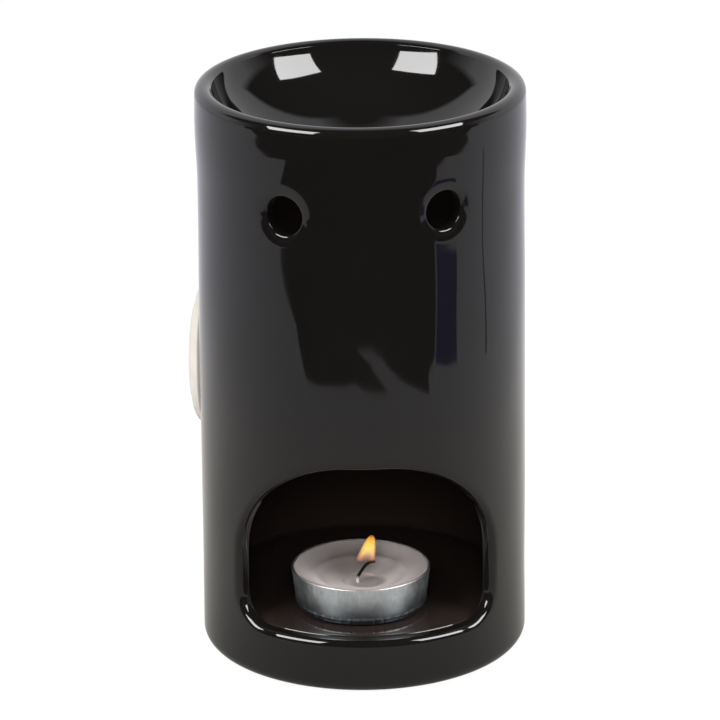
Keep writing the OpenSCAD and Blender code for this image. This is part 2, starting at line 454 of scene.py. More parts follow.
def dish_sheets():
    """The dish's section carried round the axis, with the wall's own waves on its rim."""
    profile = dish_profile()
    angles = column_angles(COLUMNS)[None, :]
    waves = casting_waves(angles, profile[:, 1:]) * (profile[:, :1] > BODY_R - LIP_OUT_ROUND)
    points = round_the_axis(profile[:, :1] + waves, angles, profile[:, 1:])
    return [(points, ring_quads(len(profile), COLUMNS, close_rows=True))]


# Chamber floor

def floor_sheets():
    """A disc with rounded edges."""
    columns = 192
    edge = 0.6
    round_edge = (edge, edge)
    profile = np.concatenate([
        line((0, LEDGE_Z), (FLOOR_R - edge, LEDGE_Z), 12),
        arc((FLOOR_R - edge, LEDGE_Z + edge), round_edge, -90, 0, 5),
        arc((FLOOR_R - edge, FLOOR_Z - edge), round_edge, 0, 90, 8),
        line((FLOOR_R - edge, FLOOR_Z), (0, FLOOR_Z), 24)[1:],
        [(0, FLOOR_Z)],
    ])
    return [(turned(profile, columns), ring_quads(len(profile), columns))]


# Medallion

def medallion_height(reach, turn):
    """Height over the wall: a rounded border, a plain ring, and eight petals and a dome sunk within it."""
    in_from_edge = MEDALLION_R - reach
    edge_round = 0.8
    dome_r, petal_l, carving = 5.5, 13.0, 1.3
    field_starts, field_full = 4.2, 5.4
    still_to_rise = np.clip(1 - in_from_edge / edge_round, 0, 1)
    border = MEDALLION_BORDER_T * np.sqrt(np.clip(1 - still_to_rise ** 2, 0, 1))
    ring = (MEDALLION_T - MEDALLION_BORDER_T) * smooth_step(in_from_edge, MEDALLION_BORDER_W - 0.4,
                                                            MEDALLION_BORDER_W + 0.3)
    across_petal = np.abs(np.cos(4 * turn)) ** 0.8
    along_petal = np.sin(np.pi * np.clip((reach - dome_r) / petal_l, 0, 1)) ** 0.7
    dome = np.sqrt(np.clip(1 - (reach / dome_r) ** 2, 0, 1))
    carved = carving * (1 - np.maximum(across_petal * along_petal, 0.9 * dome))
    return border + ring - carved * smooth_step(in_from_edge, field_starts, field_full)


def medallion_sheets():
    """A polar grid seen along the radius, laid on the wall, raised by its relief and closed by a back."""
    columns = 192
    edge_w = 5.5
    edge_turn = np.radians(np.linspace(0, 90, 26))
    reach = np.concatenate([np.linspace(0, MEDALLION_R - edge_w, 40)[:-1],
                            MEDALLION_R - edge_w + edge_w * np.sin(edge_turn)])[:, None]
    turn = column_angles(columns)[None, :]
    height = medallion_height(reach, turn)
    reach = np.concatenate([reach, reach[::-1]])
    height = np.concatenate([height, np.zeros_like(height)])
    angle = math.radians(MEDALLION_ANGLE) + np.arcsin(reach * np.cos(turn) / (BODY_R + height))
    points = round_the_axis(BODY_R + height, angle, MEDALLION_Z + reach * np.sin(turn))
    return [(points, ring_quads(len(reach), columns))]


# Tealight

def cup_sheets():
    """The drawn cup: foot with fine pleats and a bead, tapering wall, rolled rim and inner wall.

    Pleats and dents are sines round the cup that only draw its wall in. The bead is a bell across
    the foot's height, whose rise follows the pleats.
    """
    columns = 360
    top_r = CUP_RIM_R - RIM_ROLL
    foot_r = top_r - CUP_TAPER
    rim_z = CUP_RIM_Z - RIM_ROLL
    roll = (RIM_ROLL, RIM_ROLL)
    bend = (CUP_BEVEL, CUP_BEVEL)
    tight = (CUP_BEVEL - CUP_T / 2, CUP_BEVEL - CUP_T / 2)
    inner_z = CUP_BASE_Z + CUP_T
    outside = np.concatenate([
        line((0, CUP_BASE_Z), (foot_r - CUP_BEVEL, CUP_BASE_Z), 10),
        arc((foot_r - CUP_BEVEL, CUP_BASE_Z + CUP_BEVEL), bend, -90, 0, 9)[:-1],
        line((foot_r, CUP_BASE_Z + CUP_BEVEL), (top_r + RIM_ROLL, rim_z), 60),
    ])
    profile = np.concatenate([
        outside,
        arc((top_r, rim_z), roll, 0, 180, 16),
        line((top_r - CUP_T, rim_z), (foot_r - CUP_T, CUP_BASE_Z + CUP_BEVEL), 8)[1:],
        arc((foot_r - CUP_T - tight[0], inner_z + tight[1]), tight, 0, -90, 6)[:-1],
        line((foot_r - CUP_T - tight[0], inner_z), (0, inner_z), 8),
        [(0, inner_z)],
    ])
    turn = column_angles(columns)[None, :]
    height = profile[:, 1:] - CUP_BASE_Z
    pleat_in, pleat_sum, pleat_top = 0.04, 1.7, 2.2
    dent_in, dent_sum = 0.015, 2
    foot_bend_w = 1.2
    pleats = np.sin(47 * turn + 2 * np.sin(5 * turn)) + 0.7 * np.sin(83 * turn + 3 * np.sin(3 * turn))
    near_foot = smooth_step(height, 0.0, 0.5) * smooth_step(pleat_top - height, 0, 1.6)
    dents = np.sin(7 * turn + 1.0) + np.sin(11 * turn)
    middle = smooth_step(height, 0.5, 3) * smooth_step(CUP_RIM_Z - CUP_BASE_Z - 1 - height, 0, 3)
    inset = pleat_in * (pleats - pleat_sum) * near_foot + dent_in * (dents - dent_sum) * middle
    inset = inset * (profile[:, :1] > foot_r - foot_bend_w)
    bead_out, bead_z, bead_w = 0.2, 1.5, 0.4
    bead = bead_out * np.exp(-((height - bead_z) / bead_w) ** 2) * (1 + 0.25 * pleats)
    bead = bead * (np.arange(len(profile)) < len(outside))[:, None]
    points = round_the_axis(profile[:, :1] + inset + bead, turn, profile[:, 1:], CUP_AXIS)
    return [(points, ring_quads(len(profile), columns))]


def wax_sheets():
    """The paraffin: a hollow melted by the flame, with a low ridge and a pool sunk round the wick."""
    columns = 144
    skin = 0.05
    creep = 0.25
    top_r = (WAX_HIGH[0] - WAX_LOW[0]) / 2 + creep
    foot_r = top_r - CUP_TAPER
    bowl_r = (top_r ** 2 + WAX_HOLLOW ** 2) / (2 * WAX_HOLLOW)
    reach = np.linspace(top_r, 0, 80)
    bowl = WAX_EDGE_Z - WAX_HOLLOW + bowl_r - np.sqrt(bowl_r ** 2 - reach ** 2)
    ridge_up, ridge_r, ridge_w = 0.50, 12.0, 1.5
    pool_in, pool_r, pool_w = 0.35, 5.2, 0.9
    ridge = ridge_up * np.exp(-((reach - ridge_r) / ridge_w) ** 2)
    pool = pool_in * smooth_step(pool_r - reach, 0, pool_w)
    top = np.column_stack([reach, bowl - skin + ridge - pool])
    profile = np.concatenate([
        line((0, WAX_BASE_Z), (foot_r - CUP_BEVEL, WAX_BASE_Z), 8),
        line((foot_r - CUP_BEVEL, WAX_BASE_Z), (foot_r, WAX_BASE_Z + CUP_BEVEL), 2),
        line((foot_r, WAX_BASE_Z + CUP_BEVEL), (top_r, WAX_EDGE_Z - skin), 6),
        top,
    ])
    return [(turned(profile, columns, CUP_AXIS), ring_quads(len(profile), columns))]


def tube(path, radius, columns, swell):
    """A tube along a path: rings in the plane of its normal and Y, with a radius that swells along it."""
    ahead = np.gradient(path, axis=0)
    ahead /= np.linalg.norm(ahead, axis=1)[:, None]
    side = np.array([0.0, 1.0, 0.0])
    up = np.cross(ahead, side)
    up /= np.linalg.norm(up, axis=1)[:, None]
    across = np.cross(up, ahead)
    turn = column_angles(columns)[None, :, None]
    run = np.linspace(0, 1, len(path))[:, None, None]
    thick = radius * swell(run, turn)
    return path[:, None, :] + thick * (np.cos(turn) * up[:, None, :] + np.sin(turn) * across[:, None, :])


def bezier(corners, count):
    """Points of a cubic curve from the first of four corners to the last, drawn to the two between."""
    t = np.linspace(0, 1, count)[:, None]
    shares = ((1 - t) ** 3, 3 * t * (1 - t) ** 2, 3 * t ** 2 * (1 - t), t ** 3)
    return sum(share * np.array(corner) for share, corner in zip(shares, corners))


def wick_sheets():
    """A thin braided wick: upright out of the wax, then leaning over in one curve, with pointed ends."""
    seen_d = 0.9
    bend_h = 5.4
    bend_z = WICK_HIGH[2] - bend_h
    rise = line((0, WICK_LOW[2]), (0, bend_z), 30)
    bend = bezier(((0, bend_z), (1.3, bend_z + 2.2), (2.8, bend_z + 5.3), (4.9, bend_z + 4.2)), 36)
    flat = np.concatenate([rise, bend])
    path = np.column_stack([WICK_AXIS[0] + flat[:, 0], np.full(len(flat), WICK_AXIS[1]), flat[:, 1]])

    def swell(run, turn):
        ends = np.sqrt(np.clip(1 - (2 * run - 1) ** 24, 0, 1))
        return ends * (0.86 + 0.14 * np.sin(60 * run + 2 * turn) * np.sin(60 * run - 2 * turn))

    points = tube(path, seen_d / 2, 20, swell)
    return [(points, ring_quads(*points.shape[:2]))]


def flame_sheets(low, high, width):
    """A flame: half its width falls as a power of what is left of its height, about a leaning line.

    Low and high are the (x, z) of its foot and its tip, and its foot is closed by a short round bottom.
    """
    columns = 48
    depth_share = 0.8
    foot_share = 0.06
    rise = np.linspace(0, 1, 60)[:, None] ** 1.3
    foot = np.sqrt(np.clip(1 - np.clip(1 - rise / foot_share, 0, 1) ** 2, 0, 1))
    radius = width / 2 * (1 - rise) ** FLAME_POWER * foot
    turn = column_angles(columns)[None, :]
    x = low[0] + (high[0] - low[0]) * rise + radius * np.sin(turn)
    y = WICK_AXIS[1] - depth_share * radius * np.cos(turn)
    z = low[1] + (high[1] - low[1]) * rise
    points = np.stack(np.broadcast_arrays(x, y, z), axis=-1)
    return [(points, ring_quads(*points.shape[:2]))]


# Materials

def linear(hex_colour):
    """The linear RGBA of an sRGB hex value."""
    srgb = np.array([int(hex_colour[i:i + 2], 16) for i in (1, 3, 5)]) / 255
    value = np.where(srgb <= 0.04045, srgb / 12.92, ((srgb + 0.055) / 1.055) ** 2.4)
    return (*value.tolist(), 1.0)


def add(tree, kind, inputs=None, **settings):
    """Adds a shader node with its settings. An input is a value or the output that is linked to it."""
    node = tree.nodes.new("ShaderNode" + kind)
    for name, value in settings.items():
        setattr(node, name, value)
    for name, value in (inputs or {}).items():
        if isinstance(value, bpy.types.NodeSocket):
            tree.links.new(value, node.inputs[name])
        else:
            node.inputs[name].default_value = value
    return node


def new_material(name):
    """An empty node material, its tree and its output node."""
    material = bpy.data.materials.new(name)
    material.use_nodes = True
    tree = material.node_tree
    tree.nodes.clear()
    return material, tree, add(tree, "OutputMaterial")


def per_mm(size):
    """A texture's scale, in repeats a metre, for features of that size in millimetres."""
    return 1 / (size * MM)


def off_axis(tree, place, centre=(0.0, 0.0)):
    """Distance from an upright line, in metres."""
    away = add(tree, "VectorMath", {0: place, 1: (centre[0] * MM, centre[1] * MM, 0.0)},
               operation="SUBTRACT")
    flat = add(tree, "VectorMath", {0: away.outputs["Vector"], 1: (1.0, 1.0, 0.0)}, operation="MULTIPLY")
    return add(tree, "VectorMath", {0: flat.outputs["Vector"]}, operation="LENGTH").outputs["Value"]


def tone_ramp(tree, value, stops):
    """A colour that follows a value from 0 to 1 through stops of place and hex value."""
    ramp = add(tree, "ValToRGB", {0: value})
    tones = ramp.color_ramp.elements
    for spot, tone in stops[1:-1]:
        tones.new(spot).color = linear(tone)
    tones[0].color = linear(stops[0][1])
    tones[-1].color = linear(stops[-1][1])
    return ramp.outputs[0]


def black_glaze():
    """Gloss glaze on cast earthenware: a nearly black mirror, painted lighter brown inside the chamber as
    light there, bare clay below.
    """
    material, tree, output = new_material("gloss_black_glaze")
    chamber_top, dish_under = 126, 128
    place = add(tree, "TexCoord").outputs["Object"]
    flow = add(tree, "TexNoise", {"Vector": place, "Scale": per_mm(28), "Detail": 2.0})
    colour = add(tree, "Mix", {0: flow.outputs["Fac"], 6: linear("#0b0a09"), 7: linear("#100e0d")},
                 data_type="RGBA")
    height = add(tree, "SeparateXYZ", {0: place}).outputs["Z"]
    inside = add(tree, "MapRange", {"Value": off_axis(tree, place), "From Min": (BORE_R + 0.3) * MM,
                                    "From Max": (BORE_R + 0.8) * MM, "To Min": 1.0, "To Max": 0.0})
    over_floor = add(tree, "MapRange", {"Value": height, "From Min": (FLOOR_Z - 1.8) * MM,
                                        "From Max": (FLOOR_Z + 1.2) * MM})
    under_dish = add(tree, "MapRange", {"Value": height, "From Min": chamber_top * MM,
                                        "From Max": dish_under * MM, "To Min": 1.0, "To Max": 0.0})
    between = add(tree, "Math", {0: over_floor.outputs[0], 1: under_dish.outputs[0]},
                  operation="MULTIPLY")
    chamber = add(tree, "Math", {0: inside.outputs[0], 1: between.outputs[0]}, operation="MULTIPLY")
    # Painted light: inside the chamber, from the floor up to under the dish, the glaze is tinted lighter
    # brown to stand in for the light that reaches in there.
    painted_chamber_light = add(tree, "Mix", {0: chamber.outputs[0], 6: colour.outputs[2], 7: linear("#28201d")},
               data_type="RGBA")
    glazed = add(tree, "MapRange", {"Value": height, "From Min": 0.1 * MM, "From Max": 0.4 * MM})
    clay = add(tree, "Mix", {0: glazed.outputs[0], 6: linear("#b9a88f"), 7: painted_chamber_light.outputs[2]},
               data_type="RGBA")
    haze = add(tree, "TexNoise", {"Vector": place, "Scale": per_mm(9), "Detail": 3.0})
    gloss = add(tree, "MapRange", {"Value": haze.outputs["Fac"], "From Min": 0.3, "From Max": 0.7,
                                   "To Min": 0.03, "To Max": 0.06})
    rough = add(tree, "Mix", {0: glazed.outputs[0], 2: 0.85, 3: gloss.outputs[0]}, data_type="FLOAT")
    peel = add(tree, "TexNoise", {"Vector": place, "Scale": per_mm(6), "Detail": 1.0})
    bump = add(tree, "Bump", {"Height": peel.outputs["Fac"], "Strength": 0.15, "Distance": 0.05 * MM})
    shader = add(tree, "BsdfPrincipled", {
        "Base Color": clay.outputs[2], "Roughness": rough.outputs[0], "IOR": 1.48,
        "Normal": bump.outputs[0]})
    tree.links.new(shader.outputs[0], output.inputs["Surface"])
    return material


def cream_glaze():
    """Satin glaze over relief: warm white and mottled, with a dark line painted at its edge as the shade
    where it meets the wall.
    """
    material, tree, output = new_material("satin_cream_glaze")
    place = add(tree, "TexCoord").outputs["Object"]
    mottle = add(tree, "TexNoise", {"Vector": place, "Scale": per_mm(5), "Detail": 4.0})
    cream = add(tree, "Mix", {0: mottle.outputs["Fac"], 6: linear("#aaa49c"), 7: linear("#b6b1aa")},
                data_type="RGBA")
    # Painted shade: within 1.1 mm of the wall the relief turns dark, as the shade along its join with the
    # wall.
    clear = add(tree, "MapRange", {"Value": off_axis(tree, place), "From Min": (BODY_R + 0.6) * MM,
                                   "From Max": (BODY_R + 1.1) * MM})
    colour = add(tree, "Mix", {0: clear.outputs[0], 6: linear("#75706b"), 7: cream.outputs[2]},
                 data_type="RGBA")
    grain = add(tree, "TexNoise", {"Vector": place, "Scale": per_mm(0.8), "Detail": 2.0})
    bump = add(tree, "Bump", {"Height": grain.outputs["Fac"], "Strength": 0.2, "Distance": 0.05 * MM})
    shader = add(tree, "BsdfPrincipled", {
        "Base Color": colour.outputs[2], "Roughness": 0.5, "IOR": 1.35, "Normal": bump.outputs[0]})
    tree.links.new(shader.outputs[0], output.inputs["Surface"])
    return material


def cup_aluminium():
    """Drawn aluminium sheet: satin blue-grey with fine draw lines and dull patches, painted darker towards
    its foot as shade.
    """
    material, tree, output = new_material("drawn_aluminium")
    place = add(tree, "TexCoord").outputs["Object"]
    upright = add(tree, "Mapping", {"Vector": place, "Scale": (1, 1, 0.2)})
    lines = add(tree, "TexNoise", {"Vector": upright.outputs[0], "Scale": per_mm(0.6), "Detail": 3.0})
    mottle = add(tree, "TexNoise", {"Vector": place, "Scale": per_mm(1.6), "Detail": 4.0})
    dull = add(tree, "MapRange", {"Value": mottle.outputs["Fac"], "From Min": 0.3, "From Max": 0.7,
                                  "To Min": 0.37, "To Max": 0.46})
    shade = add(tree, "Math", {0: lines.outputs["Fac"], 1: mottle.outputs["Fac"]}, operation="MULTIPLY")
    tone = add(tree, "MapRange", {"Value": shade.outputs[0], "From Min": 0.1, "From Max": 0.4})
    bright = add(tree, "Mix", {0: tone.outputs[0], 6: linear("#dfe7ea"), 7: linear("#f8feff")},
                 data_type="RGBA")
    height = add(tree, "SeparateXYZ", {0: place}).outputs["Z"]
    # Painted shade: the colour darkens from 7.5 mm above the base down to the foot.
    above_foot_shade = add(tree, "MapRange", {"Value": height, "From Min": (CUP_BASE_Z + 1.0) * MM,
                                   "From Max": (CUP_BASE_Z + 7.5) * MM})
    colour = add(tree, "Mix", {0: above_foot_shade.outputs[0], 6: linear("#62696f"), 7: bright.outputs[2]},
                 data_type="RGBA")
    rim = add(tree, "MapRange", {"Value": height, "From Min": (CUP_RIM_Z - RIM_ROLL) * MM,
                                 "From Max": (CUP_RIM_Z - RIM_ROLL / 2) * MM})
    edged = add(tree, "Mix", {0: rim.outputs[0], 6: colour.outputs[2], 7: linear("#c4bcb9")},
                data_type="RGBA")
    bump = add(tree, "Bump", {"Height": shade.outputs[0], "Strength": 0.15, "Distance": 0.08 * MM})
    shader = add(tree, "BsdfPrincipled", {
        "Base Color": edged.outputs[2], "Metallic": 1.0, "Roughness": dull.outputs[0],
        "Normal": bump.outputs[0]})
    tree.links.new(shader.outputs[0], output.inputs["Surface"])
    return material


def paraffin():
    """Poured paraffin: milky and translucent, painted darker behind the middle of its hollow as shade and
    paler in a ring round it as light.
    """
    material, tree, output = new_material("poured_paraffin")
    place = add(tree, "TexCoord").outputs["Object"]
    cloud = add(tree, "TexNoise", {"Vector": place, "Scale": per_mm(7), "Detail": 2.0})
    from_shade_centre = off_axis(tree, place, CUP_AXIS + WAX_SHADE_SHIFT)
    drift = add(tree, "Math", {0: cloud.outputs["Fac"], 1: 3.0 * MM, 2: from_shade_centre},
                operation="MULTIPLY_ADD")
    reach = add(tree, "MapRange", {"Value": drift.outputs[0], "From Min": 1.5 * MM,
                                   "From Max": 26.5 * MM})
    # Painted light and shade: tones darkest where the window's top shades the back of the hollow, palest
    # in a ring farther out, where light falls.
    rings = ((0.0, "#807876"), (0.16, "#867e7c"), (0.32, "#9c9492"), (0.48, "#aca4a2"),
             (0.64, "#b6aeac"), (0.80, "#aba3a1"), (1.0, "#9c9492"))
    painted_wax_shade = tone_ramp(tree, reach.outputs[0], rings)
    dry = add(tree, "MapRange", {"Value": off_axis(tree, place, CUP_AXIS + POOL_SHIFT),
                                 "From Min": 3.8 * MM, "From Max": 5.4 * MM})
    colour = add(tree, "Mix", {0: dry.outputs[0], 6: linear("#847c7a"), 7: painted_wax_shade}, data_type="RGBA")
    skin = add(tree, "TexNoise", {"Vector": place, "Scale": per_mm(1.2), "Detail": 3.0})
    bump = add(tree, "Bump", {"Height": skin.outputs["Fac"], "Strength": 0.3, "Distance": 0.06 * MM})
    shader = add(tree, "BsdfPrincipled", {
        "Base Color": colour.outputs[2], "Roughness": 0.45, "IOR": 1.44, "Subsurface Weight": 0.4,
        "Subsurface Radius": (1.0, 0.75, 0.6), "Subsurface Scale": 2.0 * MM, "Normal": bump.outputs[0]})
    tree.links.new(shader.outputs[0], output.inputs["Surface"])
    return material


def charred_wick():
    """Braided cotton: waxed and pale at its foot, charred above, with a dull ember at the tip."""
    material, tree, output = new_material("charred_cotton")
    place = add(tree, "TexCoord").outputs["Object"]
    split = add(tree, "SeparateXYZ", {0: place})
    waxed_z = (WAX_EDGE_Z - WAX_HOLLOW + 0.4) * MM
    burnt = add(tree, "MapRange", {"Value": split.outputs["Z"], "From Min": waxed_z,
                                   "From Max": waxed_z + 1.2 * MM})
    colour = add(tree, "Mix", {0: burnt.outputs[0], 6: linear("#c9bfb6"), 7: linear("#0c0807")},
                 data_type="RGBA")
    tip_x = (WICK_HIGH[0] - 1.2) * MM
    ember = add(tree, "MapRange", {"Value": split.outputs["X"], "From Min": tip_x,
                                   "From Max": tip_x + 1.0 * MM, "To Max": 0.16})
    fibre = add(tree, "TexNoise", {"Vector": place, "Scale": per_mm(0.25), "Detail": 2.0})
    bump = add(tree, "Bump", {"Height": fibre.outputs["Fac"], "Strength": 0.6, "Distance": 0.08 * MM})
    shader = add(tree, "BsdfPrincipled", {
        "Base Color": colour.outputs[2], "Roughness": 0.85, "Specular IOR Level": 0.2,
        "Emission Color": linear("#d8532a"), "Emission Strength": ember.outputs[0],
        "Normal": bump.outputs[0]})
    tree.links.new(shader.outputs[0], output.inputs["Surface"])
    return material


def tin_plate():
    """Stamped tin plate: grey, bright and finely scratched."""
    material, tree, output = new_material("stamped_tin_plate")
    place = add(tree, "TexCoord").outputs["Object"]
    scratch = add(tree, "TexNoise", {"Vector": place, "Scale": per_mm(0.7), "Detail": 4.0})
    dull = add(tree, "MapRange", {"Value": scratch.outputs["Fac"], "To Min": 0.2, "To Max": 0.45})
    shader = add(tree, "BsdfPrincipled", {
        "Base Color": linear("#b9b9b6"), "Metallic": 1.0, "Roughness": dull.outputs[0]})
    tree.links.new(shader.outputs[0], output.inputs["Surface"])
    return material


def flame_glow(name, low, high, width, strength):
    """Burning wax vapour: a clear arch over the wick, yellow above it, orange at its sides and tip."""
    material, tree, output = new_material(name)
    place = add(tree, "SeparateXYZ", {0: add(tree, "TexCoord").outputs["Object"]})
    rise = add(tree, "MapRange", {"Value": place.outputs["Z"], "From Min": low[1] * MM,
                                  "From Max": high[1] * MM}).outputs[0]
    stops = ((0.0, "#c08468"), (0.2, "#e8a888"), (0.36, "#fbcf84"), (0.55, "#ffe682"),
             (0.8, "#ffc84e"), (1.0, "#d8560f"))
    core = tone_ramp(tree, rise, stops)
    middle = add(tree, "MapRange", {"Value": rise, "To Min": low[0] * MM, "To Max": high[0] * MM})
    aside = add(tree, "Math", {0: place.outputs["X"], 1: middle.outputs[0]}, operation="SUBTRACT")
    left_over = add(tree, "Math", {0: 1.0, 1: rise}, operation="SUBTRACT")
    narrowing = add(tree, "Math", {0: left_over.outputs[0], 1: FLAME_POWER}, operation="POWER")
    half = add(tree, "Math", {0: narrowing.outputs[0], 1: width / 2 * MM}, operation="MULTIPLY")
    share = add(tree, "Math", {0: aside.outputs[0], 1: half.outputs[0]}, operation="DIVIDE")
    square = add(tree, "Math", {0: share.outputs[0], 1: share.outputs[0]}, operation="MULTIPLY")
    flank = add(tree, "MapRange", {"Value": square.outputs[0], "From Min": 0.3, "To Max": 0.75})
    colour = add(tree, "Mix", {0: flank.outputs[0], 6: core, 7: linear("#f09a58")}, data_type="RGBA")
    arch = add(tree, "Math", {0: square.outputs[0], 1: 0.4, 2: rise}, operation="MULTIPLY_ADD")
    body = add(tree, "MapRange", {"Value": arch.outputs[0], "From Min": 0.06, "From Max": 0.46,
                                  "To Max": 0.92})
    soft = add(tree, "MapRange", {"Value": square.outputs[0], "From Min": 0.5, "To Min": 1.0,
                                  "To Max": 0.15})
    foot = add(tree, "MapRange", {"Value": rise, "From Max": 0.14})
    tip = add(tree, "MapRange", {"Value": rise, "From Min": 0.82, "To Min": 1.0, "To Max": 0.15})
    ends = add(tree, "Math", {0: foot.outputs[0], 1: tip.outputs[0]}, operation="MULTIPLY")
    edge = add(tree, "Math", {0: ends.outputs[0], 1: soft.outputs[0]}, operation="MULTIPLY")
    solid = add(tree, "Math", {0: body.outputs[0], 1: edge.outputs[0]}, operation="MULTIPLY")
    glow = add(tree, "Emission", {"Color": colour.outputs[2], "Strength": strength})
    clear = add(tree, "BsdfTransparent")
    mixed = add(tree, "MixShader", {0: solid.outputs[0], 1: clear.outputs[0], 2: glow.outputs[0]})
    tree.links.new(mixed.outputs[0], output.inputs["Surface"])
    return material


# The burner's pieces

GLAZE = black_glaze()
make_piece("wall_glaze", wall_sheets(), GLAZE, "burner", "body_wall")
make_piece("dish_glaze", dish_sheets(), GLAZE, "burner", "oil_dish")
make_piece("floor_glaze", floor_sheets(), GLAZE, "burner", "chamber_floor")
make_piece("medallion_relief", medallion_sheets(), cream_glaze(), "burner", "medallion")
make_piece("tealight_foil", cup_sheets(), cup_aluminium(), "tealight", "tealight_cup")
make_piece("candle_wax", wax_sheets(), paraffin(), "candle", "wax")
make_piece("candle_wick", wick_sheets(), charred_wick(), "candle", "wick")

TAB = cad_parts["wick_tab"]
TAB.data.materials.clear()
TAB.data.materials.append(tin_plate())

FLAME_W = 5.2
FLAME_LOW = (WICK_AXIS[0] + 2.1, WICK_HIGH[2] - 0.7)
FLAME_HIGH = (WICK_AXIS[0] + 3.95, WICK_HIGH[2] + 6.7)
make_piece("flame_mantle", flame_sheets(FLAME_LOW, FLAME_HIGH, FLAME_W),
           flame_glow("flame_mantle", FLAME_LOW, FLAME_HIGH, FLAME_W, strength=1.0), "candle")


# Stage, light and camera

def stage_sheet(name, points, faces, material):
    """A flat piece of the studio."""
    mesh = bpy.data.meshes.new(name)
    mesh.from_pydata(points, [], faces)
    mesh.materials.append(material)
    sheet = bpy.data.objects.new(name, mesh)
    bpy.context.scene.collection.objects.link(sheet)
    return sheet


def white_table():
    """A matt white table: white to the camera but for a faint shadow; in the glaze it shows painted light,
    brighter behind, and painted shade close to the burner.
    """
    material, tree, output = new_material("matt_white_table")
    white_share = 0.9
    path = add(tree, "LightPath").outputs
    shiny = add(tree, "Math", {0: path["Is Glossy Ray"], 1: path["Is Transmission Ray"]},
                operation="MAXIMUM")
    direct = add(tree, "Math", {0: path["Is Camera Ray"], 1: shiny.outputs[0]}, operation="MAXIMUM")
    share = add(tree, "Math", {0: direct.outputs[0], 1: white_share}, operation="MULTIPLY")
    place = add(tree, "TexCoord").outputs["Object"]
    reach = add(tree, "VectorMath", {0: place}, operation="LENGTH").outputs["Value"]
    ahead = add(tree, "SeparateXYZ", {0: place}).outputs["Y"]
    facing = add(tree, "Math", {0: ahead, 1: reach}, operation="DIVIDE")
    # Reflections only: painted light, brighter behind the burner than in front, and painted shade
    # darkening the table close to the burner.
    lit = add(tree, "MapRange", {"Value": facing.outputs[0], "From Min": -1.0, "To Min": 0.36,
                                 "To Max": 0.98})
    painted_shade_near_burner = add(tree, "MapRange", {"Value": reach, "From Min": 0.045, "From Max": 0.2, "To Min": 0.7})
    level = add(tree, "Math", {0: lit.outputs[0], 1: painted_shade_near_burner.outputs[0]}, operation="MULTIPLY")
    strength = add(tree, "Mix", {0: path["Is Camera Ray"], 2: level.outputs[0], 3: 1.0},
                   data_type="FLOAT")
    far = add(tree, "MapRange", {"Value": reach, "From Min": 0.12, "From Max": 0.36})
    tint = add(tree, "Mix", {0: far.outputs[0], 6: linear("#fffaf0"), 7: linear("#f4f3ff")},
               data_type="RGBA")
    colour = add(tree, "Mix", {0: path["Is Camera Ray"], 6: tint.outputs[2], 7: linear("#ffffff")},
                 data_type="RGBA")
    matt = add(tree, "BsdfDiffuse", {"Color": linear("#f2f2f2")})
    white = add(tree, "Emission", {"Color": colour.outputs[2], "Strength": strength.outputs[0]})
    mixed = add(tree, "MixShader", {0: share.outputs[0], 1: matt.outputs[0], 2: white.outputs[0]})
    tree.links.new(mixed.outputs[0], output.inputs["Surface"])
    return material


def felt(name, colour):
    """Matt cloth that the glaze mirrors as the dark middle of its front."""
    material, tree, output = new_material(name)
    shader = add(tree, "BsdfDiffuse", {"Color": linear(colour)})
    tree.links.new(shader.outputs[0], output.inputs["Surface"])
    return material


def studio_world():
    """White to the camera. Other rays meet a dark room with a tall white panel and a low sweep behind."""
    world = bpy.data.worlds.new("studio")
    bpy.context.scene.world = world
    world.use_nodes = True
    tree = world.node_tree
    tree.nodes.clear()
    way = add(tree, "SeparateXYZ", {0: add(tree, "TexCoord").outputs["Generated"]})
    aside = add(tree, "Math", {0: way.outputs["X"]}, operation="ABSOLUTE")
    inside = add(tree, "Math", {0: aside.outputs[0], 1: -0.58, 2: way.outputs["Y"]},
                 operation="MULTIPLY_ADD")
    across = add(tree, "MapRange", {"Value": inside.outputs[0], "From Min": -0.03, "From Max": 0.03})
    under_top = add(tree, "MapRange", {"Value": way.outputs["Z"], "From Min": 0.90, "From Max": 0.98,
                                       "To Min": 1.0, "To Max": 0.0})
    panel = add(tree, "Math", {0: across.outputs[0], 1: under_top.outputs[0]}, operation="MULTIPLY")
    low = add(tree, "MapRange", {"Value": way.outputs["Z"], "From Min": 0.36, "From Max": 0.46,
                                 "To Min": 1.0, "To Max": 0.0})
    behind = add(tree, "MapRange", {"Value": way.outputs["Y"], "From Min": -0.25, "From Max": 0.25})
    sweep = add(tree, "Math", {0: low.outputs[0], 1: behind.outputs[0]}, operation="MULTIPLY")
    backdrop = add(tree, "Math", {0: panel.outputs[0], 1: sweep.outputs[0]}, operation="MAXIMUM")
    room = add(tree, "Mix", {0: backdrop.outputs[0], 6: linear("#28282a"), 7: linear("#fbfbff")},
               data_type="RGBA")
    camera = add(tree, "LightPath").outputs["Is Camera Ray"]
    colour = add(tree, "Mix", {0: camera, 6: room.outputs[2], 7: (1, 1, 1, 1)}, data_type="RGBA")
    background = add(tree, "Background", {"Color": colour.outputs[2], "Strength": 1.0})
    add(tree, "OutputWorld", {"Surface": background.outputs[0]})


